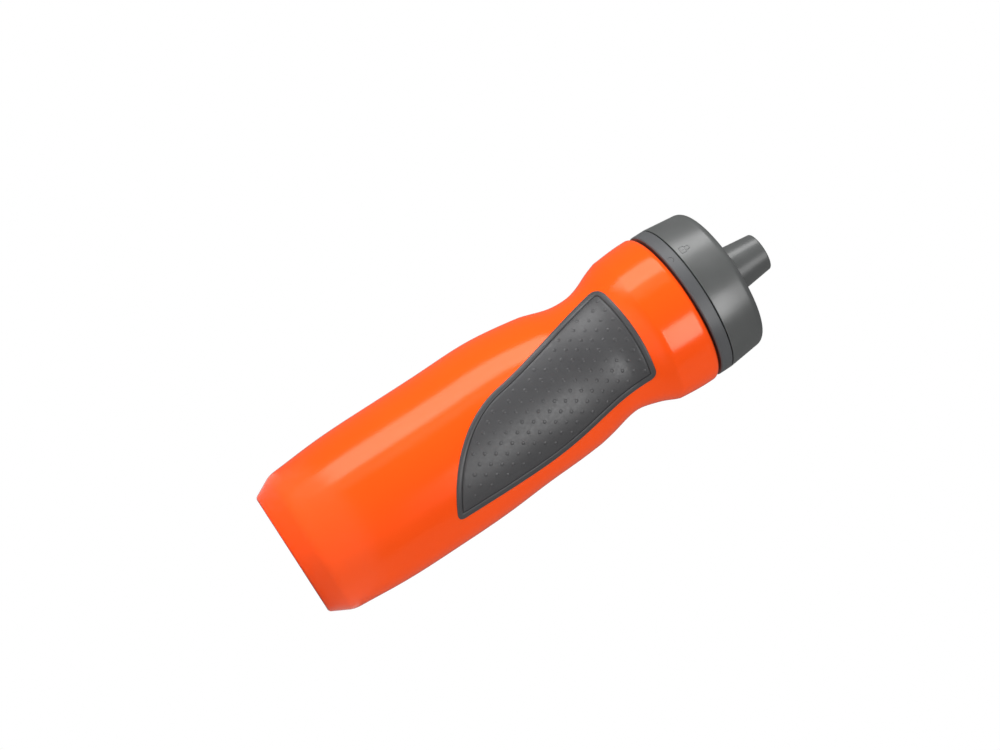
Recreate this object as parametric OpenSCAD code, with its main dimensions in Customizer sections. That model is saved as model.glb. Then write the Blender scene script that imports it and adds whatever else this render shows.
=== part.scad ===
// Sports squeeze bottle with a screw-on lid whose spout rises when the cap is twisted.
// The bottle stands on z = 0 with its axis on z; its front grip faces -Y.

/* [Bottle] */
// Outer diameter of the barrel at its widest
body_d = 75; // [66:0.5:92]
// Height of the bottle up to the top of its shoulder
body_h = 205.5; // [170:0.5:250]
// Diameter of the flat base
base_d = 57; // [46:0.5:60]
// Height of the sloping edge around the base
base_edge_h = 12; // [9:0.5:16]
// Outer diameter just above that edge
foot_d = 71; // [63:0.5:75]
// Height of the dome pushed up into the base
dome_h = 4; // [2:0.5:7]
// Height of the middle of the straight stretch of the barrel
land_z = 61; // [52:0.5:66]
// Length of the straight stretch
land_h = 14; // [8:0.5:20]
// Outer diameter at the narrowest part of the grip
waist_d = 60; // [50:0.5:70]
// Distance from the narrowest part up to the top of the shoulder
waist_drop = 40.5; // [36:0.5:50]
// Radius around the top of the shoulder
shoulder_r = 3; // [2:0.25:4]
// Wall thickness of the bottle
body_wall = 1.4; // [1:0.1:2]

/* [Neck] */
// Outer diameter of the neck, without its thread
neck_d = 61; // [52:0.5:62]
// Height of the neck above the shoulder
neck_h = 15; // [12:0.5:19]
// Wall thickness of the neck
neck_wall = 2; // [1.5:0.1:3]
// How far the thread stands out of the neck
thread_depth = 1.5; // [1:0.1:1.6]
// Rise of the two-start thread in one turn
thread_lead = 8; // [7:0.5:9]
// Angle that each thread start covers
thread_arc = 270; // [180:10:300]

/* [Grip pads] */
// Thickness of the soft pads
pad_t = 2; // [1.5:0.1:3]
// How far the pads stand out of the bottle
pad_proud = 0.5; // [0.2:0.1:1]
// Height of a pad's pointed lower corner
pad_low_z = 68; // [60:0.5:90]
// Distance from the narrowest part of the grip up to a pad's upper edge
pad_rise = 12.5; // [8:0.5:14]
// Distance from the grip's narrowest outline in to a pad's upper left side
pad_left_in = 3.5; // [3:0.5:8]
// Distance from the grip's narrowest outline in to a pad's upper right side
pad_top_right_in = 7.5; // [4:0.5:12]
// Distance from the barrel's outline in to a pad's lower right side
pad_right_in = 10; // [8:0.5:16]

/* [Lid] */
// Outer diameter of the lid at the seam between its base and its cap
lid_d = 74; // [71:0.5:90]
// Outer diameter of the cap just below its rounded top edge
cap_top_d = 70.6; // [66:0.2:71]
// Gap between the shoulder and the lid
lid_gap = 0.8; // [0.5:0.1:1.5]
// Height of the lid base's outer band
band_h = 5.9; // [4:0.1:7]
// Seam between the band and the cap
seam = 0.3; // [0.2:0.1:0.8]
// Height of the cap
cap_h = 19.5; // [18:0.5:26]
// Radius of the cap's rounded top edge
cap_edge_r = 4; // [2:0.5:6]
// Wall thickness of the cap
cap_wall = 2.6; // [2:0.1:2.8]
// Thickness of the cap's top
roof_t = 2; // [1.5:0.1:3]
// Wall thickness of the lid base's deck and well
lid_wall = 1.7; // [1.2:0.1:2.5]
// Thickness of the sealing washer
gasket_t = 1.4; // [1:0.1:2.5]

/* [Spout] */
// How far the raised spout stands out of the cap
spout_show = 22.3; // [18:0.1:32]
// Outer diameter of the spout where it leaves the cap
spout_base_d = 23.8; // [20:0.2:26]
// Outer diameter of the spout's tip
spout_tip_d = 18.6; // [14:0.2:20]
// Diameter of the outlet in the tip
outlet_d = 7.2; // [6:0.1:9]
// Thickness of the tip around the outlet
tip_t = 3.3; // [2.5:0.1:5]
// Wall thickness of the spout
spout_wall = 1.6; // [1.2:0.1:2]
// How far the spout sinks when it is shut
travel = 10; // [6:0.5:13]
// How far the cap turns to shut the spout
twist = 90; // [75:5:120]
// Diameter of the two lugs that lift the spout
lug_d = 3.4; // [2.6:0.1:4.2]
// Bore of the guide that the spout slides in
guide_d = 28; // [27:0.2:31]
// Wall thickness of the guide and of the cam ring
guide_wall = 1.7; // [1.4:0.1:2.4]
// Section diameter of the sliding seal ring
ring_d = 2.4; // [1.8:0.1:2.6]
// Diameter of the valve post
post_d = 5.6; // [4:0.1:5.8]

/* [Hidden] */
$fn = 96;

ORANGE = "#f2621f";
PAD_GREY = "#57585a";
LID_GREY = "#6f7270";
BAND_GREY = "#6e6f73";
SILICONE = "#d9dcd8";
NATURAL = "#e8e6df";

// Clearances
run_gap = 0.05;     // a bore and the round piece that slides in it
turn_gap = 0.2;     // pieces that turn past each other
seat_gap = 0.05;    // faces that are bonded or pressed together
thread_gap = 0.4;   // a thread's crest and the wall opposite

// Radii and heights of the bottle
body_r = body_d / 2;
base_r = base_d / 2;
foot_r = foot_d / 2;
waist_r = waist_d / 2;
neck_r = neck_d / 2;
neck_in_r = neck_r - neck_wall;
waist_z = body_h - waist_drop;
land_low = land_z - land_h / 2;
land_high = land_z + land_h / 2;
neck_top = body_h + neck_h;
pad_depth = pad_t - pad_proud;

// Radii and heights of the lid
lid_r = lid_d / 2;
skirt_r = neck_r + thread_depth + thread_gap;
band_z = body_h + lid_gap;
band_top = band_z + band_h;
cap_z = band_top + seam;
cap_top = cap_z + cap_h;
roof_z = cap_top - roof_t;
cap_in_r = lid_r - cap_wall;
collar_r = cap_in_r - turn_gap;
gasket_z = neck_top + seat_gap;
deck_z = gasket_z + gasket_t + seat_gap;
deck_top = deck_z + lid_wall;
well_r = neck_in_r - 0.9;
snap_z = band_top + 4.5;
snap_depth = 0.6;
cap_hole_r = spout_base_d / 2 + 0.5;

// Cam that turns the cap's twist into the spout's rise
guide_r = guide_d / 2;
guide_out_r = guide_r + guide_wall;
cam_in_r = guide_out_r + 0.4;
cam_out_r = cam_in_r + guide_wall + 0.4;
lug_r = lug_d / 2;
lug_tip_r = cam_out_r - 0.3;
cam_over = 9;
cam_slope = atan(travel / (twist / 180 * PI * cam_in_r));
cam_slot_h = 2 * (lug_r + 0.3) / cos(cam_slope);
cam_over_h = travel * cam_over / twist;
lug_z = roof_z - 1.2 - cam_over_h - cam_slot_h / 2;
cam_z = lug_z - travel - cam_over_h - cam_slot_h / 2 - 1.2;
floor_top = cam_z - 0.5;
guide_top = roof_z - 1;
guide_slot_z = lug_z - travel - lug_r - 0.4;

// Spout, seal ring and valve post
piston_r = guide_r - 2 * run_gap;
piston_h = ring_d + 4;
piston_top = guide_slot_z - 0.6;
piston_z = piston_top - piston_h;
ring_z = piston_z + piston_h / 2;
ring_r = guide_r - run_gap - ring_d / 2;
spout_base_r = spout_base_d / 2;
spout_tip_r = spout_tip_d / 2;
spout_bore_r = spout_base_r - spout_wall;
spout_top = cap_top + spout_show;
outlet_r = outlet_d / 2;
post_r = post_d / 2;
spider_h = 3;
spider_top = piston_z - travel - 0.5;
guide_z = spider_top - spider_h;
plug_r = outlet_r - run_gap;
plug_top = spout_top - travel - 0.4;
plug_h = 9;

// Points along a cubic curve, without its last point
function curve(a, b, c, d, n = 8) = [for (i = [0:n - 1])
    let (t = i / n, s = 1 - t)
    s * s * s * a + 3 * s * s * t * b + 3 * s * t * t * c + t * t * t * d];

// Points along an arc about a centre
function arc(centre, r, from, to, n = 8) = [for (i = [0:n])
    let (a = from + (to - from) * i / n)
    centre + r * [cos(a), sin(a)]];

// An open line of points moved sideways by d, to the right of its direction
function shifted(p, d) = [for (i = [0:len(p) - 1])
    let (ahead = p[min(i + 1, len(p) - 1)], back = p[max(i - 1, 0)], run = ahead - back)
    p[i] + d * [run.y, -run.x] / norm(run)];

// The same for a closed outline
function grown(p, d) = [for (i = [0:len(p) - 1])
    let (n = len(p), run = p[(i + 1) % n] - p[(i + n - 1) % n])
    p[i] + d * [run.y, -run.x] / norm(run)];

function reversed(p) = [for (i = [len(p) - 1:-1:0]) p[i]];

// Underside of the base, from the middle out to the sloping edge
base_line = concat(
    [[0, dome_h]],
    [for (p = curve([3, dome_h], [base_r / 2, dome_h], [base_r - 11, dome_h / 2], [base_r - 6, 0], 6)) p],
    [[base_r - 6, 0]]);

// Outside of the bottle, from the base up to the start of the grip
low_line = concat(
    curve([base_r, 0], [base_r + 1, 0], [base_r + 1.5, 0.5], [base_r + 1.9, 1.2], 5),
    curve([foot_r - 1.5, base_edge_h - 4], [foot_r - 0.6, base_edge_h - 2.3],
        [foot_r - 0.2, base_edge_h - 0.5], [foot_r, base_edge_h + 3], 5),
    curve([foot_r, base_edge_h + 3], [foot_r + 0.9, base_edge_h + 15],
        [body_r, land_low - 20], [body_r, land_low], 10));

// Outside of the grip, from the straight stretch over the waist to the shoulder. It
// bends inwards at bend_z, and the bulb above the waist is nearly full size at bulb_z.
waist_in = body_r - waist_r;
bend_r = waist_r + 0.56 * waist_in;
bend_z = waist_z - 22;
grip_run = bend_z - land_high;
bulb_r = body_r - 1;
bulb_z = waist_z + 20.5;
neck_bend_z = body_h - shoulder_r - 2;
grip_line = concat(
    [[body_r, land_low]],
    curve([body_r, land_high], [body_r, land_high + 0.59 * grip_run],
        [bend_r + 0.28 * waist_in, bend_z - 0.21 * grip_run], [bend_r, bend_z], 12),
    curve([bend_r, bend_z], [bend_r - 0.25 * waist_in, bend_z + 9],
        [waist_r, waist_z - 8], [waist_r, waist_z]),
    curve([waist_r, waist_z], [waist_r, waist_z + 6.5],
        [bulb_r - 1.6, bulb_z - 5], [bulb_r, bulb_z]),
    curve([bulb_r, bulb_z], [bulb_r + 0.4, bulb_z + 4.5],
        [body_r, neck_bend_z - 6], [body_r, neck_bend_z], 6));

shoulder_line = arc([body_r - shoulder_r, body_h - shoulder_r], shoulder_r, 0, 90, 5);
outer_line = concat(base_line, low_line, grip_line, shoulder_line);
inner_line = [for (p = shifted(outer_line, -body_wall)) [max(p.x, 0), p.y]];

// Outline of the front pad, seen from the front: x to the right and y up the bottle.
// The corners are short curves, and the left side sweeps down to the pointed corner.
pad_top = waist_z + pad_rise;
pad_left = waist_r - pad_left_in;
pad_right = body_r - pad_right_in;
pad_top_right = waist_r - pad_top_right_in;
pad_h = pad_top - pad_low_z;
pad_bend_z = pad_low_z + 0.41 * pad_h;
pad_line = concat(
    curve([-pad_left + 5, pad_top - 0.6], [-6, pad_top + 0.6],
        [8, pad_top + 0.6], [pad_top_right - 4, pad_top - 0.4]),
    curve([pad_top_right - 4, pad_top - 0.4], [pad_top_right - 1.6, pad_top - 0.5],
        [pad_top_right - 0.7, pad_top - 2.1], [pad_top_right - 0.9, pad_top - 5], 5),
    curve([pad_top_right - 0.9, pad_top - 5], [pad_top_right - 1.2, pad_top - 0.25 * pad_h],
        [pad_right - 0.3, pad_low_z + 0.66 * pad_h], [pad_right + 0.4, pad_bend_z], 10),
    curve([pad_right + 0.4, pad_bend_z], [pad_right + 0.7, pad_bend_z - 0.13 * pad_h],
        [pad_right + 0.3, pad_low_z + 0.17 * pad_h], [pad_right, pad_low_z + 3], 6),
    curve([pad_right, pad_low_z + 3], [pad_right - 0.1, pad_low_z + 0.4],
        [pad_right - 1.5, pad_low_z - 0.2], [pad_right - 4, pad_low_z + 1], 4),
    curve([pad_right - 4, pad_low_z + 1], [6, pad_low_z + 0.08 * pad_h],
        [-pad_left + 17, pad_bend_z - 0.18 * pad_h], [-pad_left + 14.2, pad_bend_z], 10),
    curve([-pad_left + 14.2, pad_bend_z], [-pad_left + 12, pad_bend_z + 0.14 * pad_h],
        [-pad_left + 6.5, pad_low_z + 0.7 * pad_h], [-pad_left + 1.2, pad_top - 6], 10),
    curve([-pad_left + 1.2, pad_top - 6], [-pad_left + 0.6, pad_top - 3],
        [-pad_left + 1.9, pad_top - 0.9], [-pad_left + 5, pad_top - 0.6], 5));

// A layer that follows the outside of the bottle between two distances from it
module layer(from, to) {
    rotate_extrude() polygon(concat(shifted(grip_line, to), reversed(shifted(grip_line, from))));
}

// The front part of such a layer inside the pad's outline, grown by a margin
module pad_layer(from, to, margin) {
    intersection() {
        layer(from, to);
        rotate([90, 0, 0]) linear_extrude(body_d) polygon(grown(pad_line, -margin));
    }
}

// A ridge or channel of four corners that climbs round the axis, tapering off over its
// first and last steps if fade is set. It is root_w high at root_r and tip_w high at
// tip_r, and its middle is at height z at angle 0.
module helix(root_r, tip_r, root_w, tip_w, z, lead, from, to, fade = 0) {
    steps = ceil((to - from) / 6);
    corners = [for (i = [0:steps])
        let (a = from + (to - from) * i / steps,
            mid = z + lead * a / 360,
            full = fade == 0 ? 1 : min(1, (i + 0.6) / fade, (steps - i + 0.6) / fade),
            root = root_r * [cos(a), sin(a)],
            tip = (root_r + (tip_r - root_r) * full) * [cos(a), sin(a)])
        each [[root.x, root.y, mid - root_w / 2], [tip.x, tip.y, mid - tip_w / 2],
            [tip.x, tip.y, mid + tip_w / 2], [root.x, root.y, mid + root_w / 2]]];
    last = 4 * steps;
    sides = [for (i = [0:steps - 1], k = [0:3])
        let (a = 4 * i + k, b = 4 * i + (k + 1) % 4)
        each [[a, b, b + 4], [a, b + 4, a + 4]]];
    ends = [[0, 2, 1], [0, 3, 2], [last, last + 1, last + 2], [last, last + 2, last + 3]];
    outward = tip_r > root_r;
    turned = [for (f = concat(sides, ends)) outward ? f : reversed(f)];
    polyhedron(corners, turned);
}

// The two starts of the neck's thread, or of the lid's, which runs below them
thread_z = body_h + 3.6;
thread_pitch = thread_lead / 2;
thread_root = 0.55 * thread_pitch;
thread_tip = 0.3 * thread_pitch;

module thread(root_r, tip_r, z, from) {
    for (start = [0, 180]) rotate([0, 0, start])
        helix(root_r, tip_r, thread_root, thread_tip, z, thread_lead, from, from + thread_arc, 3);
}

// A ring between two radii, from a height upwards
module tube(r_out, r_in, z, h) {
    translate([0, 0, z]) difference() {
        cylinder(r = r_out, h = h);
        translate([0, 0, -1]) cylinder(r = r_in, h = h + 2);
    }
}

// Blow-moulded bottle: an even wall that follows the outside, with a recess for each pad
module bottle_body() {
    color(ORANGE) {
        difference() {
            union() {
                rotate_extrude() polygon(concat(
                    outer_line,
                    [[neck_r, body_h], [neck_r, neck_top], [neck_in_r, neck_top],
                        [neck_in_r, body_h - body_wall]],
                    reversed(inner_line)));
                for (side = [0, 1]) mirror([0, side, 0])
                    pad_layer(-pad_depth - body_wall, -body_wall / 2, 2);
                thread(neck_r - 0.3, neck_r + thread_depth, thread_z, 0);
            }
            for (side = [0, 1]) mirror([0, side, 0]) pad_layer(-pad_depth, pad_proud + 3, 0.1);
        }
    }
}

// Soft rubber pads, bonded into the recesses at the front and the back
module grip_pad_front() {
    color(PAD_GREY) pad_layer(seat_gap - pad_depth, pad_proud, 0);
}

module grip_pad_rear() {
    color(PAD_GREY) mirror([0, 1, 0]) pad_layer(seat_gap - pad_depth, pad_proud, 0);
}

// Silicone washer between the neck and the lid
module lid_gasket() {
    color(SILICONE) tube(skirt_r - turn_gap, neck_in_r, gasket_z, gasket_t);
}

// Screw lid: outer band, threaded skirt, deck, and a well round the spout's guide
module lid_base() {
    color(BAND_GREY) {
        difference() {
            rotate_extrude() polygon([
                [skirt_r, band_z], [lid_r - 0.5, band_z], [lid_r, band_z + 0.5],
                [lid_r, band_top - 0.2], [lid_r - 0.2, band_top], [collar_r, band_top],
                [collar_r, snap_z], [collar_r - snap_depth, snap_z + 0.3],
                [collar_r - snap_depth, snap_z + 1.3], [collar_r, snap_z + 1.6],
                [collar_r, deck_top - 0.4], [collar_r - 0.4, deck_top],
                [well_r - lid_wall, deck_top], [well_r - lid_wall, floor_top],
                [guide_out_r, floor_top], [guide_out_r, guide_top - 0.4],
                [guide_out_r - 0.4, guide_top], [guide_r, guide_top], [guide_r, guide_z],
                [guide_out_r, guide_z], [guide_out_r, floor_top - lid_wall],
                [well_r, floor_top - lid_wall], [well_r, deck_z], [skirt_r, deck_z]]);
            for (side = [0, 180]) rotate([0, 0, side])
                translate([guide_r - 1, -lug_r - 0.2, guide_slot_z])
                cube([guide_wall + 2, 2 * lug_r + 0.4, guide_top - guide_slot_z + 1]);
        }
        thread(skirt_r + 0.3, neck_r + 0.6, thread_z - thread_pitch / 2, 60);
    }
}

// Post that shuts the outlet, on three arms and a ring pressed into the guide's lower end
module valve_post() {
    color(NATURAL) {
        tube(guide_r - seat_gap, guide_r - 2, guide_z, spider_h);
        for (arm = [0:2]) rotate([0, 0, arm * 120 + 90])
            translate([0, -1.1, guide_z]) cube([guide_r - 1, 2.2, spider_h]);
        translate([0, 0, guide_z]) cylinder(r = post_r, h = plug_top - plug_h - guide_z);
        translate([0, 0, guide_z]) cylinder(r = post_r - 1, h = plug_top - 2 - guide_z);
    }
}

// Soft sleeve on the post's tip that plugs the outlet
module post_tip() {
    color(SILICONE) translate([0, 0, plug_top - plug_h]) difference() {
        rotate_extrude() polygon(concat(
            [[0, 0], [plug_r, 0]],
            arc([plug_r - 1, plug_h - 1], 1, 0, 90, 4),
            [[0, plug_h]]));
        translate([0, 0, -1]) cylinder(r = post_r - 1 + seat_gap, h = plug_h - 2 + seat_gap + 1);
    }
}

// Spout: a grooved piston, a stem with two lugs, and the taper that stands out of the cap
module spout() {
    color(LID_GREY) {
        rotate_extrude() polygon(concat(
            [[spout_bore_r, piston_z], [piston_r - 0.4, piston_z], [piston_r, piston_z + 0.4],
                [piston_r, ring_z - ring_d / 2 - 0.1], [ring_r - ring_d / 2 - 0.05, ring_z - ring_d / 2 - 0.1],
                [ring_r - ring_d / 2 - 0.05, ring_z + ring_d / 2 + 0.1],
                [piston_r, ring_z + ring_d / 2 + 0.1], [piston_r, piston_top],
                [spout_base_r, piston_top], [spout_base_r, cap_top]],
            arc([spout_tip_r - 0.8, spout_top - 0.8], 0.8, 0, 90, 5),
            [[outlet_r + 0.4, spout_top], [outlet_r, spout_top - 0.4],
                [outlet_r, spout_top - tip_t], [spout_tip_r - spout_wall - 0.4, spout_top - tip_t],
                [spout_bore_r, cap_top]]));
        for (side = [0, 180]) rotate([0, 0, side]) translate([spout_base_r - 0.8, 0, lug_z])
            rotate([0, 90, 0]) cylinder(r = lug_r, h = lug_tip_r - spout_base_r + 0.8);
    }
}

// Silicone ring in the piston's groove
module spout_seal_ring() {
    color(SILICONE) rotate_extrude() translate([ring_r, ring_z]) circle(d = ring_d);
}

// Ring with two sloping slots that lifts the lugs, pressed under the cap's top
module cam_ring() {
    color(NATURAL) difference() {
        tube(cam_out_r, cam_in_r, cam_z, roof_z - seat_gap - cam_z);
        for (start = [0, 180]) rotate([0, 0, start])
            helix(cam_in_r - 1, cam_out_r + 1, cam_slot_h, cam_slot_h, lug_z, -travel * 360 / twist,
                -cam_over, twist + cam_over);
    }
}

// Twist cap: a slightly tapered shell that snaps over the lid base
module lid_cap() {
    color(LID_GREY) {
        rotate_extrude() polygon(concat(
            [[cap_in_r, cap_z], [lid_r - 0.2, cap_z], [lid_r, cap_z + 0.2]],
            arc([cap_top_d / 2 - cap_edge_r, cap_top - cap_edge_r], cap_edge_r, 5, 90, 7),
            [[cap_hole_r + 0.5, cap_top], [cap_hole_r, cap_top - 0.5], [cap_hole_r, roof_z],
                [cam_out_r + seat_gap, roof_z], [cam_out_r + seat_gap, roof_z - 3],
                [cam_out_r + 1.4, roof_z - 3], [cam_out_r + 1.4, roof_z],
                [cap_top_d / 2 - cap_edge_r - 0.5, roof_z],
                [cap_top_d / 2 - cap_wall, roof_z - 3], [cap_in_r, deck_top + 1],
                [cap_in_r, snap_z + 1.2], [cap_in_r - snap_depth, snap_z + 0.95],
                [cap_in_r - snap_depth, snap_z + 0.65], [cap_in_r, snap_z + 0.4]]));
    }
}

bottle_body();
grip_pad_front();
grip_pad_rear();
lid_gasket();
lid_base();
valve_post();
post_tip();
spout();
spout_seal_ring();
cam_ring();
lid_cap();
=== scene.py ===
import bisect
import bmesh
import bpy
import math
from mathutils import Matrix, Vector


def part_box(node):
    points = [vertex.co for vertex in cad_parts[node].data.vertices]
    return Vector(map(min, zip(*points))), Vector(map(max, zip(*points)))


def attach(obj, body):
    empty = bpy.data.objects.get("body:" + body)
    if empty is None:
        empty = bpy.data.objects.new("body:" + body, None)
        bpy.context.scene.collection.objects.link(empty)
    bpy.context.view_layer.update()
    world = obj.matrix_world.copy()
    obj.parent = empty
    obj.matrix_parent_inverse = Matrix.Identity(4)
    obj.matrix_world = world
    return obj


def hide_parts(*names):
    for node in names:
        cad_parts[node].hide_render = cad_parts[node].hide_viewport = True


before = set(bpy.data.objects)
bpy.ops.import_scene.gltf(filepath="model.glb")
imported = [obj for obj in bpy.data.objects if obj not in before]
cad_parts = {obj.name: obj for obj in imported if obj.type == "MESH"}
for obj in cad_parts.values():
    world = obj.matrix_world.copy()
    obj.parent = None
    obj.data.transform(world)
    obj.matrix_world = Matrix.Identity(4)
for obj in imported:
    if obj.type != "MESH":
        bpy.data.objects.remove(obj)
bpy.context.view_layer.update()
MM = 0.001


# ---- Studio ---------------------------------------------------------------------------
# A pale round floor under a white surround. One tall softbox at the left, two small ones
# at the front right and three wide fills at the sides and the back light the bottle.
# The camera is at base height, rolled so that the bottle leans to the upper right.

def look_through(location, heading, climb, roll, lens):
    """A camera that looks along heading and climb, in degrees, turned by roll."""
    camera = bpy.data.cameras.new("camera")
    camera.lens = lens
    camera.sensor_width = 36
    seen_from = bpy.data.objects.new("camera", camera)
    turn, up = math.radians(heading), math.radians(climb)
    forward = Vector((math.sin(turn) * math.cos(up), math.cos(turn) * math.cos(up),
                      math.sin(up)))
    level = forward.cross(Vector((0, 0, 1))).normalized()
    upright = level.cross(forward)
    lean = math.radians(roll)
    right = level * math.cos(lean) + upright * math.sin(lean)
    above = upright * math.cos(lean) - level * math.sin(lean)
    seen_from.matrix_world = Matrix((
        (right.x, above.x, -forward.x, location[0]),
        (right.y, above.y, -forward.y, location[1]),
        (right.z, above.z, -forward.z, location[2]),
        (0, 0, 0, 1)))
    bpy.context.scene.collection.objects.link(seen_from)
    bpy.context.scene.camera = seen_from


def softbox(name, location, target, width, height, watts, mirrored=True):
    """A rectangular light; glossy surfaces mirror it unless it is only a fill."""
    lamp = bpy.data.lights.new(name, "AREA")
    lamp.shape = "RECTANGLE"
    lamp.size = width
    lamp.size_y = height
    lamp.energy = watts
    holder = bpy.data.objects.new(name, lamp)
    holder.location = location
    aim = Vector(target) - Vector(location)
    holder.rotation_euler = aim.to_track_quat("-Z", "Y").to_euler()
    holder.visible_glossy = mirrored
    bpy.context.scene.collection.objects.link(holder)


look_through((0, -0.838, 0.000002), -1.165, 8.25, 57.16, 67.55)
softbox("softbox_left", (-0.73, -0.325, 0.375), (0, 0, 0.375), 0.40, 0.95, 4.0)
softbox("softbox_right", (0.40, -0.572, 0.325), (0, 0, 0.25), 0.40, 0.29, 1.7)
softbox("softbox_high", (0.40, -0.572, 0.64), (0, 0, 0.25), 0.40, 0.34, 0.65)
softbox("fill_left", (-0.64, -0.58, 0.22), (0, 0, 0.12), 0.40, 0.80, 10.0, mirrored=False)
softbox("fill_right", (0.82, 0.08, 0.25), (0, 0, 0.12), 0.60, 0.60, 3.6, mirrored=False)
softbox("fill_back", (-0.20, 0.95, 0.45), (0, 0, 0.12), 0.90, 0.60, 5.0, mirrored=False)

surround = bpy.data.worlds.new("surround")
surround.use_nodes = True
backdrop = surround.node_tree.nodes["Background"]
ambient = surround.node_tree.nodes.new("ShaderNodeLightPath")
brightness = surround.node_tree.nodes.new("ShaderNodeMapRange")
brightness.inputs["To Min"].default_value = 0.15
surround.node_tree.links.new(ambient.outputs["Is Camera Ray"], brightness.inputs["Value"])
surround.node_tree.links.new(brightness.outputs["Result"], backdrop.inputs["Strength"])
backdrop.inputs["Color"].default_value = (1, 1, 1, 1)
bpy.context.scene.world = surround
bpy.context.scene.view_settings.view_transform = "Standard"


def finish_material(name, colour, roughness):
    """A material with one Principled shader, and its node tree and shader."""
    material = bpy.data.materials.new(name)
    material.use_nodes = True
    tree = material.node_tree
    shader = tree.nodes["Principled BSDF"]
    shader.inputs["Base Color"].default_value = (*colour, 1)
    shader.inputs["Roughness"].default_value = roughness
    return material, tree, shader


floor_mesh = bmesh.new()
bmesh.ops.create_circle(floor_mesh, cap_ends=True, segments=128, radius=0.36)
floor_data = bpy.data.meshes.new("floor")
floor_mesh.to_mesh(floor_data)
floor_mesh.free()
floor = bpy.data.objects.new("floor", floor_data)
bpy.context.scene.collection.objects.link(floor)
floor_finish, floor_tree, floor_shader = finish_material("pale_floor", (0.60, 0.60, 0.60), 0.9)
floor_data.materials.append(floor_finish)


# ---- Bottle ---------------------------------------------------------------------------
# One blow-moulded shell of glossy orange polyethylene with an even wall. The grip is
# drawn in more gently on the right side than on the left, and a recess at the front and
# another at the back take the rubber pads. The neck carries a two-start thread.

BODY_R = 37.5
BODY_H = 205.5
BASE_R = 28.5
EDGE_H = 12
FOOT_R = 35.5
DOME_H = 4
LAND_LOW = 54
LAND_HIGH = 68
WAIST_R = 30
WAIST_Z = BODY_H - 40.5
SHOULDER_R = 3
BODY_WALL = 1.4
RECESS = 1.5
NECK_R = 30.5
NECK_TOP = BODY_H + 15
NECK_WALL = 2
THREAD_Z = BODY_H + 3.6
THREAD_H = 1.5
THREAD_LEAD = 8
THREAD_SWEEP = 270
THREAD_FADE = 15
# Skin this near to a pad's outline is moved onto it.
PAD_SNAP = 0.3
RECESS_TAPER = 0.02


def curve(a, b, c, d, n):
    """Points along a cubic curve, without its last point."""

    def at(t, p, q, r, s):
        u = 1 - t
        return u ** 3 * p + 3 * u ** 2 * t * q + 3 * u * t * t * r + t ** 3 * s

    return [tuple(at(i / n, *axis) for axis in zip(a, b, c, d)) for i in range(n)]


def arc(centre, radius, start, end, n):
    """Points along an arc, in degrees, with both ends."""
    angles = [math.radians(start + (end - start) * i / n) for i in range(n + 1)]
    return [(centre[0] + radius * math.cos(a), centre[1] + radius * math.sin(a))
            for a in angles]


bend_r = WAIST_R + 0.56 * (BODY_R - WAIST_R)
bend_z = WAIST_Z - 22
grip_run = bend_z - LAND_HIGH
bulb_r = BODY_R - 1
bulb_z = WAIST_Z + 20.5
neck_bend_z = BODY_H - SHOULDER_R - 2

base_line = (
    [(0, DOME_H)]
    + curve((3, DOME_H), (BASE_R / 2, DOME_H), (BASE_R - 11, DOME_H / 2), (BASE_R - 6, 0), 10)
    + [(BASE_R - 6, 0)])
low_line = (
    curve((BASE_R, 0), (BASE_R + 1, 0), (BASE_R + 1.5, 0.5), (BASE_R + 1.9, 1.2), 8)
    + curve((FOOT_R - 1.5, EDGE_H - 4), (FOOT_R - 0.6, EDGE_H - 2.3),
            (FOOT_R - 0.2, EDGE_H - 0.5), (FOOT_R, EDGE_H + 3), 12)
    + curve((FOOT_R, EDGE_H + 3), (FOOT_R + 0.9, EDGE_H + 15), (BODY_R, LAND_LOW - 20),
            (BODY_R, LAND_LOW), 16))
grip_line = (
    [(BODY_R, LAND_LOW), (BODY_R, LAND_LOW + 6)]
    + curve((BODY_R, LAND_HIGH - 2), (BODY_R, LAND_HIGH - 1.4), (BODY_R, LAND_HIGH - 0.7),
            (BODY_R, LAND_HIGH), 2)
    + curve((BODY_R, LAND_HIGH), (BODY_R, LAND_HIGH + 0.59 * grip_run),
            (bend_r + 2.1, bend_z - 0.21 * grip_run), (bend_r, bend_z), 64)
    + curve((bend_r, bend_z), (bend_r - 1.9, bend_z + 9), (WAIST_R, WAIST_Z - 8),
            (WAIST_R, WAIST_Z), 22)
    + curve((WAIST_R, WAIST_Z), (WAIST_R, WAIST_Z + 6.5), (bulb_r - 1.6, bulb_z - 5),
            (bulb_r, bulb_z), 20)
    + curve((bulb_r, bulb_z), (bulb_r + 0.4, bulb_z + 4.5), (BODY_R, neck_bend_z - 6),
            (BODY_R, neck_bend_z), 10))
grip_heights = [z for r, z in grip_line]


def mean_radius(z):
    """Radius of the grip's mean outline at a height, in millimetres."""
    i = bisect.bisect(grip_heights, z)
    if i in (0, len(grip_line)):
        return BODY_R
    (r0, z0), (r1, z1) = grip_line[i - 1], grip_line[i]
    return r0 + (r1 - r0) * (z - z0) / (z1 - z0)


def hill(z, middle, width):
    return math.exp(-(((z - middle) / width) ** 2))


def lean_in(z, side):
    """How far the grip stands out of its mean outline; side is 1 right, -1 left."""
    return side * (0.65 * hill(z, 154, 9) - 1.1 * hill(z, 115, 20) - 0.35 * hill(z, 179, 4.5))


def skin_point(x, z):
    """Point of the bottle's front skin at x and z, in millimetres."""
    r = mean_radius(z)
    for _ in range(3):
        r = mean_radius(z) + lean_in(z, x / r)
    return Vector((x, -math.sqrt(max(r * r - x * x, 1)), z))


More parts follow.
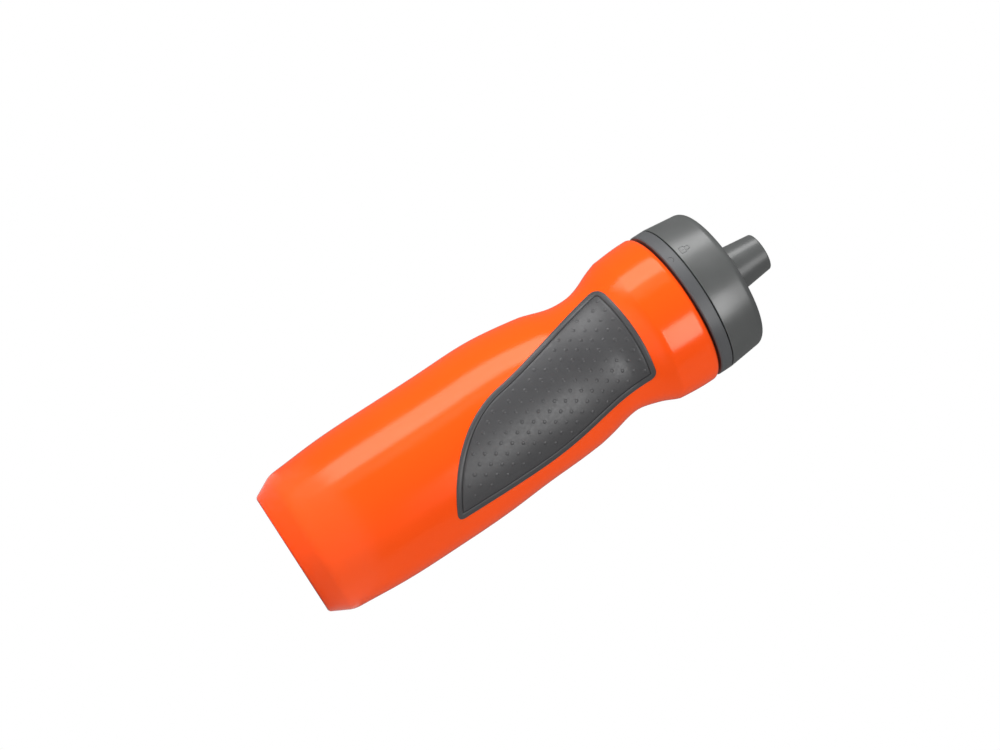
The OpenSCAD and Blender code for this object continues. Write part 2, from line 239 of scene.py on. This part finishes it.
def skin_normal(x, z):
    """Outward normal of the bottle's front skin."""
    across = skin_point(x + 0.05, z) - skin_point(x - 0.05, z)
    along = skin_point(x, z + 0.4) - skin_point(x, z - 0.4)
    return across.cross(along).normalized()


PAD_TOP = WAIST_Z + 12.5
PAD_LOW = 68
PAD_LEFT = WAIST_R - 3.5
PAD_RIGHT = BODY_R - 10
PAD_TOP_RIGHT = WAIST_R - 7.5
pad_h = PAD_TOP - PAD_LOW
pad_bend = PAD_LOW + 0.41 * pad_h

pad_line = (
    curve((5 - PAD_LEFT, PAD_TOP - 0.6), (-6, PAD_TOP + 0.6), (8, PAD_TOP + 0.6),
          (PAD_TOP_RIGHT - 4, PAD_TOP - 0.4), 24)
    + curve((PAD_TOP_RIGHT - 4, PAD_TOP - 0.4), (PAD_TOP_RIGHT - 1.6, PAD_TOP - 0.5),
            (PAD_TOP_RIGHT - 0.7, PAD_TOP - 2.1), (PAD_TOP_RIGHT - 0.9, PAD_TOP - 5), 14)
    + curve((PAD_TOP_RIGHT - 0.9, PAD_TOP - 5), (PAD_TOP_RIGHT - 1.2, PAD_TOP - 0.25 * pad_h),
            (PAD_RIGHT - 0.3, PAD_LOW + 0.66 * pad_h), (PAD_RIGHT + 0.4, pad_bend), 40)
    + curve((PAD_RIGHT + 0.4, pad_bend), (PAD_RIGHT + 0.7, pad_bend - 0.13 * pad_h),
            (PAD_RIGHT + 0.3, PAD_LOW + 0.17 * pad_h), (PAD_RIGHT, PAD_LOW + 3), 24)
    + curve((PAD_RIGHT, PAD_LOW + 3), (PAD_RIGHT - 0.1, PAD_LOW + 0.4),
            (PAD_RIGHT - 1.5, PAD_LOW - 0.2), (PAD_RIGHT - 4, PAD_LOW + 1), 14)
    + curve((PAD_RIGHT - 4, PAD_LOW + 1), (6, PAD_LOW + 0.08 * pad_h),
            (17 - PAD_LEFT, pad_bend - 0.18 * pad_h), (14.2 - PAD_LEFT, pad_bend), 36)
    + curve((14.2 - PAD_LEFT, pad_bend), (12 - PAD_LEFT, pad_bend + 0.14 * pad_h),
            (6.5 - PAD_LEFT, PAD_LOW + 0.7 * pad_h), (1.2 - PAD_LEFT, PAD_TOP - 6), 40)
    + curve((1.2 - PAD_LEFT, PAD_TOP - 6), (0.6 - PAD_LEFT, PAD_TOP - 3),
            (1.9 - PAD_LEFT, PAD_TOP - 0.9), (5 - PAD_LEFT, PAD_TOP - 0.6), 14))


def in_pad(x, z):
    """How far a point lies inside the pad's outline, and the outline's nearest point."""
    nearest, place = 1e9, None
    inside = False
    for (x0, z0), (x1, z1) in zip(pad_line, pad_line[1:] + pad_line[:1]):
        dx, dz = x1 - x0, z1 - z0
        t = max(0, min(1, ((x - x0) * dx + (z - z0) * dz) / (dx * dx + dz * dz)))
        away = math.hypot(x - x0 - t * dx, z - z0 - t * dz)
        if away < nearest:
            nearest, place = away, (x0 + t * dx, z0 + t * dz)
        if (z0 > z) != (z1 > z) and x < x0 + (z - z0) * dx / dz:
            inside = not inside
    return (nearest if inside else -nearest), place


def linked(name, mesh, *materials):
    """Makes an object of a finished bmesh, smooth but for its sharp edges."""
    data = bpy.data.meshes.new(name)
    mesh.to_mesh(data)
    mesh.free()
    data.shade_smooth()
    data.set_sharp_from_angle(angle=math.radians(40))
    for material in materials:
        data.materials.append(material)
    piece = bpy.data.objects.new(name, data)
    bpy.context.scene.collection.objects.link(piece)
    return piece


def turned(outline, steps, closed=False):
    """A bmesh of an outline of (radius, height) points, turned about the axis."""
    mesh = bmesh.new()
    points = [mesh.verts.new((r * MM, 0, z * MM)) for r, z in outline]
    for a, b in zip(points, points[1:]):
        mesh.edges.new((a, b))
    if closed:
        mesh.edges.new((points[-1], points[0]))
    bmesh.ops.spin(mesh, geom=mesh.verts[:] + mesh.edges[:], axis=(0, 0, 1), cent=(0, 0, 0),
                   angle=math.tau, steps=steps, use_merge=True)
    bmesh.ops.remove_doubles(mesh, verts=mesh.verts[:], dist=1e-7)
    bmesh.ops.recalc_face_normals(mesh, faces=mesh.faces[:])
    return mesh


def sink_recesses(mesh):
    """Fits the skin's edges to the pads' outlines and sinks the faces inside them."""
    rim, within = [], set()
    for v in mesh.verts:
        x, y, z = v.co / MM
        if not (PAD_LOW - 1 < z < PAD_TOP + 1 and abs(x) < PAD_RIGHT + 2):
            continue
        if math.hypot(x, y) < skin_point(x, z).xy.length - PAD_SNAP:
            continue
        depth, place = in_pad(x, z)
        if abs(depth) < PAD_SNAP:
            onto = skin_point(*place)
            v.co = Vector((onto.x, math.copysign(onto.y, y), onto.z)) * MM
            rim.append(v)
        elif depth > 0:
            within.add(v)
    bmesh.ops.connect_verts(mesh, verts=rim)
    mesh.normal_update()
    edge = set(rim)
    sunk = []
    for f in mesh.faces:
        if all(v in within or v in edge for v in f.verts):
            middle = f.calc_center_median() / MM
            if any(v in within for v in f.verts) or in_pad(middle.x, middle.z)[0] > 0.02:
                sunk.append(f)
    bmesh.ops.inset_region(mesh, faces=sunk, thickness=RECESS_TAPER * MM, depth=-RECESS * MM)


def add_thread(mesh, root_r, tip_r, z, lead, sweep, start, root_w, tip_w):
    """Adds one helical ridge to a bmesh, low at both ends; start and sweep in degrees."""
    steps = 60
    section = [(root_r, -root_w / 2), (tip_r, -tip_w / 2),
               (tip_r, tip_w / 2), (root_r, root_w / 2)]
    spun = Matrix.Rotation(math.radians(start), 3, "Z")
    verts = [mesh.verts.new(spun @ Vector((r, 0, z + h)) * MM) for r, h in section]
    edges = [mesh.edges.new((verts[i], verts[(i + 1) % 4])) for i in range(4)]
    before = set(mesh.verts)
    made = bmesh.ops.spin(mesh, geom=verts + edges, axis=(0, 0, 1), cent=(0, 0, 0),
                          dvec=(0, 0, lead * sweep / 360 / steps * MM),
                          angle=math.radians(sweep), steps=steps)
    ridge = verts + [v for v in mesh.verts if v not in before]
    for v in ridge:
        turn = (math.degrees(math.atan2(v.co.y, v.co.x)) - start + 1) % 360 - 1
        full = max(0.05, min(1, turn / THREAD_FADE, (sweep - turn) / THREAD_FADE))
        r = math.hypot(v.co.x, v.co.y)
        lowered = (root_r * MM + (r - root_r * MM) * full) / r
        v.co.x *= lowered
        v.co.y *= lowered
    bmesh.ops.contextual_create(mesh, geom=verts)
    last = [g for g in made["geom_last"] if isinstance(g, bmesh.types.BMVert)]
    bmesh.ops.contextual_create(mesh, geom=last)
    bmesh.ops.recalc_face_normals(mesh, faces=list({f for v in ridge for f in v.link_faces}))


neck_line = (
    arc((BODY_R - SHOULDER_R, BODY_H - SHOULDER_R), SHOULDER_R, 0, 90, 8)
    + [(NECK_R + 0.5, BODY_H), (NECK_R, BODY_H + 0.5)]
    + arc((NECK_R - 0.4, NECK_TOP - 0.4), 0.4, 0, 90, 3)
    + arc((NECK_R - NECK_WALL + 0.4, NECK_TOP - 0.4), 0.4, 90, 180, 3)
    + [(NECK_R - NECK_WALL, BODY_H - BODY_WALL)])
inner_line = (
    arc((BODY_R - SHOULDER_R, BODY_H - SHOULDER_R), SHOULDER_R - BODY_WALL, 90, 0, 4)
    + [(r - BODY_WALL, z) for r, z in grip_line[::-3]]
    + [(r - BODY_WALL, max(z, BODY_WALL)) for r, z in low_line[::-2]]
    + [(max(r - 0.5, 0), z + BODY_WALL) for r, z in base_line[::-1]])
bottle_mesh = turned(base_line + low_line + grip_line + neck_line + inner_line, 256)

# The grip takes its two sides' own outlines, and behind a pad the inside moves in too.
for v in bottle_mesh.verts:
    x, y, z = v.co / MM
    r = math.hypot(x, y)
    if not LAND_LOW < z < neck_bend_z or r < WAIST_R - 3:
        continue
    grown = lean_in(z, x / r)
    if r < mean_radius(z) - 0.7 and PAD_LOW < z < PAD_TOP and in_pad(x, z)[0] > -2:
        grown -= RECESS
    v.co.x *= (r + grown) / r
    v.co.y *= (r + grown) / r
sink_recesses(bottle_mesh)
for half in (0, 180):
    add_thread(bottle_mesh, NECK_R - 0.3, NECK_R + THREAD_H, THREAD_Z, THREAD_LEAD,
               THREAD_SWEEP, half, root_w=2.2, tip_w=1.2)


def noise(tree, scale, detail, stretch=(1, 1, 1)):
    """Noise on object coordinates, about 1 / scale metres wide."""
    place = tree.nodes.new("ShaderNodeTexCoord")
    size = tree.nodes.new("ShaderNodeMapping")
    size.inputs["Scale"].default_value = stretch
    grain = tree.nodes.new("ShaderNodeTexNoise")
    grain.inputs["Scale"].default_value = scale
    grain.inputs["Detail"].default_value = detail
    tree.links.new(place.outputs["Object"], size.inputs["Vector"])
    tree.links.new(size.outputs["Vector"], grain.inputs["Vector"])
    return grain.outputs["Fac"]


def spread(tree, value, low, high):
    """Maps the middle of a noise's range onto low to high."""
    between = tree.nodes.new("ShaderNodeMapRange")
    between.inputs["From Min"].default_value = 0.3
    between.inputs["From Max"].default_value = 0.7
    between.inputs["To Min"].default_value = low
    between.inputs["To Max"].default_value = high
    tree.links.new(value, between.inputs["Value"])
    return between.outputs["Result"]


def clouded(tree, shader, scale, detail, dark, light):
    """Gives the shader a base colour that drifts between dark and light."""
    mixed = tree.nodes.new("ShaderNodeMix")
    mixed.data_type = "RGBA"
    mixed.inputs["A"].default_value = (*dark, 1)
    mixed.inputs["B"].default_value = (*light, 1)
    tree.links.new(spread(tree, noise(tree, scale, detail), 0, 1), mixed.inputs["Factor"])
    tree.links.new(mixed.outputs["Result"], shader.inputs["Base Color"])


def bumped(tree, shader, value, height, strength):
    """Gives the shader a fine relief, height metres deep."""
    relief = tree.nodes.new("ShaderNodeBump")
    relief.inputs["Distance"].default_value = height
    relief.inputs["Strength"].default_value = strength
    tree.links.new(value, relief.inputs["Height"])
    tree.links.new(relief.outputs["Normal"], shader.inputs["Normal"])


def orange_polyethylene():
    material, tree, shader = finish_material("orange_polyethylene", (0.94, 0.079, 0.004), 0.16)
    shader.inputs["Specular Tint"].default_value = (1.0, 0.95, 0.74, 1)
    clouded(tree, shader, 14, 2, (0.92, 0.075, 0.004), (0.96, 0.083, 0.005))
    scuffs = noise(tree, 60, 6, (1, 1, 0.25))
    tree.links.new(spread(tree, scuffs, 0.13, 0.19), shader.inputs["Roughness"])
    bumped(tree, shader, noise(tree, 160, 1), 0.00002, 0.5)
    return material


bottle = linked("bottle_shell", bottle_mesh, orange_polyethylene())
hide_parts("bottle_body")
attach(bottle, "bottle")


# ---- Grip pads ------------------------------------------------------------------------
# Two soft rubber pads, mirror images, moulded into the recesses. Each has a rounded rim,
# a fine groove inside it, and rows of low round studs for grip over the whole field.

# From the outline inwards: distance from it, height over the bottle's skin.
RIM = [(0, -0.2), (0.06, 0.12), (0.2, 0.3), (0.45, 0.44), (0.85, 0.5), (1.5, 0.5),
       (2.05, 0.42), (2.3, 0.28), (2.42, 0.02), (2.5, -0.12), (2.62, -0.12), (2.7, 0.1),
       (2.82, 0.3), (3.1, 0.38)]
OUTLINE_SLACK = 0.03
FIELD_H = 0.4
GRID = 1.3
PAD_DEEP = 1.3
STUD_R = 0.9
STUD_H = 0.19
# Each step of a stud's dome: share of the radius inwards, share of the height upwards.
STUD_STEPS = ((0.2, 0.45), (0.26, 0.37), (0.28, 0.18))
STUD_ROW = 4.24
STUD_PITCH = 5.25
STUD_START_X = 0.55
STUD_START_Z = 2.8
STUD_MARGIN = 0.2


def outline_at(depth):
    """The pad's outline moved inwards, with the loops this makes at corners closed up."""
    count = len(pad_line)
    moved = []
    for i, (x, z) in enumerate(pad_line):
        ahead, back = pad_line[(i + 1) % count], pad_line[i - 1]
        run = Vector((ahead[0] - back[0], ahead[1] - back[1])).normalized()
        moved.append(Vector((x, z)) + depth * Vector((run.y, -run.x)))
    kept = [in_pad(*p)[0] > depth - OUTLINE_SLACK for p in moved]
    closed = list(moved)
    for i in range(count):
        if not kept[i]:
            back = next(k for k in range(1, count) if kept[i - k])
            ahead = next(k for k in range(1, count) if kept[(i + k) % count])
            closed[i] = moved[i - back].lerp(moved[(i + ahead) % count], back / (back + ahead))
    return closed


def add_studs(mesh):
    """Low round studs on a staggered pattern, each on the pad's surface."""
    for row in range(int(pad_h / STUD_ROW) + 1):
        z = PAD_LOW + STUD_START_Z + row * STUD_ROW
        for column in range(-6, 7):
            x = STUD_START_X + (column + 0.5 * (row % 2)) * STUD_PITCH
            if in_pad(x, z)[0] < RIM[-1][0] + STUD_R + STUD_MARGIN:
                continue
            out = skin_normal(x, z)
            foot = Matrix.Translation((skin_point(x, z) + out * FIELD_H) * MM)
            place = foot @ out.to_track_quat("Z", "Y").to_matrix().to_4x4()
            made = bmesh.ops.create_circle(mesh, cap_ends=True, segments=14,
                                           radius=STUD_R * MM, matrix=place)
            top = made["verts"][0].link_faces[0]
            if top.normal.dot(out) < 0:
                top.normal_flip()
            for inset, rise in STUD_STEPS:
                bmesh.ops.inset_individual(mesh, faces=[top], thickness=inset * STUD_R * MM,
                                           depth=rise * STUD_H * MM)


def make_pad(name, back, rubber):
    """A pad drawn flat in X and height, given its rim and field, then laid on the bottle."""
    mesh = bmesh.new()
    level = mesh.verts.layers.float.new("level")
    field = mesh.faces.new([mesh.verts.new((x, z, 0)) for x, z in pad_line])
    for v in field.verts:
        v[level] = RIM[0][1]
    for depth, height in RIM[1:]:
        bmesh.ops.inset_individual(mesh, faces=[field], thickness=0.001, depth=0)
        for v, p in zip(field.verts, outline_at(depth)):
            v.co = (p.x, p.y, 0)
            v[level] = height
    columns = [x * GRID for x in range(int(-PAD_LEFT / GRID), int(PAD_RIGHT / GRID) + 1)]
    rows = [PAD_LOW + z * GRID for z in range(1, int(pad_h / GRID) + 1)]
    cuts = [((x, 0, 0), (1, 0, 0)) for x in columns] + [((0, z, 0), (0, 1, 0)) for z in rows]
    inner = [field]
    edge = set(field.verts)
    for place, direction in cuts:
        parts = {e for f in inner for e in f.edges} | {v for f in inner for v in f.verts}
        made = bmesh.ops.bisect_plane(mesh, geom=inner + list(parts), plane_co=place,
                                      plane_no=direction, dist=1e-5)
        inner = [g for g in made["geom"] if isinstance(g, bmesh.types.BMFace)]
    for f in inner:
        for v in f.verts:
            v[level] = RIM[-1][1] if v in edge else FIELD_H
    bmesh.ops.remove_doubles(mesh, verts=mesh.verts[:], dist=1e-4)
    made = bmesh.ops.extrude_face_region(mesh, geom=mesh.faces[:])
    outer = {g for g in made["geom"] if isinstance(g, bmesh.types.BMVert)}
    for v in mesh.verts:
        x, z, height = v.co.x, v.co.y, v[level] if v in outer else -PAD_DEEP
        v.co = (skin_point(x, z) + skin_normal(x, z) * height) * MM
    bmesh.ops.recalc_face_normals(mesh, faces=mesh.faces[:])
    add_studs(mesh)
    if back:
        bmesh.ops.scale(mesh, vec=(1, -1, 1), verts=mesh.verts[:])
        bmesh.ops.reverse_faces(mesh, faces=mesh.faces[:])
    return linked(name, mesh, rubber)


def grip_rubber():
    material, tree, shader = finish_material("grip_rubber", (0.048, 0.048, 0.050), 0.4)
    shader.inputs["Specular IOR Level"].default_value = 0.65
    clouded(tree, shader, 35, 3, (0.044, 0.044, 0.046), (0.051, 0.051, 0.053))
    tree.links.new(spread(tree, noise(tree, 900, 2), 0.36, 0.48), shader.inputs["Roughness"])
    bumped(tree, shader, noise(tree, 2600, 2), 0.00003, 0.5)
    return material


pad_rubber = grip_rubber()
for pad_name, node_name, at_back in (("pad_front", "grip_pad_front", False),
                                     ("pad_rear", "grip_pad_rear", True)):
    pad_piece = make_pad(pad_name, at_back, pad_rubber)
    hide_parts(node_name)
    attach(pad_piece, "bottle")


# ---- Lid base -------------------------------------------------------------------------
# The screw-on half of the lid, moulded in grey polypropylene. Only its satin outer band
# shows below the seam; its thread, deck and spout guide are inside.

def satin_polypropylene(name, dark, light, rough, shine=0.5):
    """Moulded plastic with a faint grain; rough and shine set how its highlights look."""
    material, tree, shader = finish_material(name, light, rough)
    shader.inputs["Specular IOR Level"].default_value = shine
    clouded(tree, shader, 40, 3, dark, light)
    tree.links.new(spread(tree, noise(tree, 90, 2), rough - 0.02, rough + 0.04),
                   shader.inputs["Roughness"])
    bumped(tree, shader, noise(tree, 1100, 1), 0.00001, 0.3)
    return material


def dressed(node_name, material):
    """Gives a CAD node its finished material."""
    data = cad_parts[node_name].data
    data.materials.clear()
    data.materials.append(material)


band_plastic = satin_polypropylene("band_plastic", (0.069, 0.071, 0.074),
                                   (0.080, 0.082, 0.085), 0.42)
dressed("lid_base", band_plastic)


# ---- Seals and valve ------------------------------------------------------------------
# A silicone washer seals the lid on the neck and a silicone ring seals the spout in its
# guide. The valve post, of uncoloured plastic, has a soft tip that plugs the outlet.

def milky_silicone():
    material, tree, shader = finish_material("milky_silicone", (0.70, 0.73, 0.70), 0.42)
    clouded(tree, shader, 120, 3, (0.62, 0.65, 0.62), (0.74, 0.76, 0.73))
    tree.links.new(spread(tree, noise(tree, 500, 2), 0.36, 0.5), shader.inputs["Roughness"])
    shader.inputs["Subsurface Weight"].default_value = 0.2
    shader.inputs["Subsurface Radius"].default_value = (0.002, 0.002, 0.002)
    return material


silicone = milky_silicone()
natural_plastic = satin_polypropylene("natural_plastic", (0.74, 0.72, 0.66),
                                      (0.82, 0.80, 0.74), 0.38)
for seal_name in ("lid_gasket", "post_tip", "spout_seal_ring"):
    dressed(seal_name, silicone)
for inner_name in ("valve_post", "cam_ring"):
    dressed(inner_name, natural_plastic)


# ---- Twist cap ------------------------------------------------------------------------
# A tapered grey shell with a rounded top edge and a finely grained roof, snapped over the
# lid base. It turns a quarter turn; a small padlock above the seam marks its locked end.

LID_R = 37.0
CAP_TOP_R = 35.3
CAP_EDGE_R = 4
CAP_WALL = 2.6
ROOF_T = 2
HOLE_R = 12.4
HOLE_EDGE_R = 0.6
LIP_R = 0.35
SEAM_RAISE = 0.2
ROOF_NORMAL_Z = 0.9
cap_low, cap_high = (corner.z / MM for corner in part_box("lid_cap"))

cap_outline = (
    [(LID_R - CAP_WALL, cap_low + 0.1), (LID_R - CAP_WALL + 0.1, cap_low),
     (LID_R - 1.6, cap_low), (LID_R - 1.4, cap_low + SEAM_RAISE)]
    + arc((LID_R - LIP_R, cap_low + SEAM_RAISE + LIP_R), LIP_R, -90, 0, 5)
    + arc((CAP_TOP_R - CAP_EDGE_R, cap_high - CAP_EDGE_R), CAP_EDGE_R, 5, 90, 16)
    + arc((HOLE_R + HOLE_EDGE_R, cap_high - HOLE_EDGE_R), HOLE_EDGE_R, 90, 180, 6)
    + [(HOLE_R, cap_high - ROOF_T), (CAP_TOP_R - CAP_EDGE_R - 0.5, cap_high - ROOF_T),
       (CAP_TOP_R - CAP_WALL, cap_high - ROOF_T - 3), (LID_R - CAP_WALL, cap_high - 7.2)])
LID_DARK = (0.068, 0.071, 0.070)
LID_LIGHT = (0.080, 0.083, 0.082)
lid_plastic = satin_polypropylene("lid_plastic", LID_DARK, LID_LIGHT, 0.30, 1.0)
roof_plastic = satin_polypropylene("roof_plastic", LID_DARK, LID_LIGHT, 0.62, 0.3)
cap_mesh = turned(cap_outline, 160, closed=True)
for f in cap_mesh.faces:
    f.material_index = int(f.normal.z > ROOF_NORMAL_Z)
cap = linked("twist_cap", cap_mesh, lid_plastic, roof_plastic)
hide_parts("lid_cap")
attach(cap, "cap")


# ---- Marks ----------------------------------------------------------------------------
# Low raised marks moulded into the lid: a small padlock on the cap and, just below it on
# the band, a short arc. Each is a fine round-topped ridge that follows the curved side.

MARK_TURN = -31.5
MARK_H = 0.24
MARK_W = 0.42
MARK_SUNK = 0.05
POINTER_DROP = 4.1


def ridge(mesh, path, radius_at, turn, closed):
    """Adds a low ridge along (across, up) points, wrapped onto the lid's side."""

    def place(x, z, out):
        r = radius_at(z) + out
        angle = math.radians(turn) + x / radius_at(z)
        return Vector((r * math.sin(angle), -r * math.cos(angle), z)) * MM

    count = len(path)
    rings = []
    for i, (x, z) in enumerate(path):
        ahead = path[(i + 1) % count] if closed or i + 1 < count else path[i]
        back = path[i - 1] if closed or i > 0 else path[i]
        run = Vector((ahead[0] - back[0], ahead[1] - back[1])).normalized()
        section = []
        for k in range(7):
            a = math.pi * k / 6
            side = math.cos(a) * MARK_W / 2
            section.append(mesh.verts.new(place(
                x - run.y * side, z + run.x * side, math.sin(a) * MARK_H - MARK_SUNK)))
        rings.append([mesh.edges.new(pair) for pair in zip(section, section[1:])])
    pairs = list(zip(rings, rings[1:])) + ([(rings[-1], rings[0])] if closed else [])
    for a, b in pairs:
        bmesh.ops.bridge_loops(mesh, edges=a + b)


def cap_side(z):
    """Radius of the cap's tapered side at a height."""
    return LID_R - (z - cap_low) * (LID_R - CAP_TOP_R) / (cap_high - CAP_EDGE_R - cap_low)


def rounded_box(cx, cz, w, h, r):
    """Points round a box with rounded corners."""
    corners = ((w / 2 - r, h / 2 - r, 0), (r - w / 2, h / 2 - r, 90),
               (r - w / 2, r - h / 2, 180), (w / 2 - r, r - h / 2, 270))
    return [p for x, z, a in corners for p in arc((cx + x, cz + z), r, a, a + 90, 4)]


padlock = bmesh.new()
lock_z = cap_low + 3.4
ridge(padlock, rounded_box(0, lock_z, 3.4, 2.6, 0.5), cap_side, MARK_TURN, True)
shackle = ([(1.0, lock_z + 1.3)] + arc((0, lock_z + 2.3), 1.0, 0, 180, 10)
           + [(-1.0, lock_z + 1.3)])
ridge(padlock, shackle, cap_side, MARK_TURN, False)
ridge(padlock, [(0, lock_z + 0.35), (0, lock_z - 0.35)], cap_side, MARK_TURN, False)
bmesh.ops.recalc_face_normals(padlock, faces=padlock.faces[:])
padlock_mark = linked("padlock_mark", padlock, lid_plastic)
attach(padlock_mark, "cap")

pointer = bmesh.new()
pointer_path = arc((0, cap_low - POINTER_DROP), 1.5, 20, 200, 12)
ridge(pointer, pointer_path, lambda z: LID_R, MARK_TURN + 2, False)
bmesh.ops.recalc_face_normals(pointer, faces=pointer.faces[:])
pointer_mark = linked("pointer_mark", pointer, band_plastic)
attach(pointer_mark, "lid")


# ---- Spout ----------------------------------------------------------------------------
# A tapered drinking spout of the same grey plastic, with a rounded lip round its outlet.
# Inside the lid it has a grooved piston and two lugs that run in the cam ring's slots.

dressed("spout", lid_plastic)
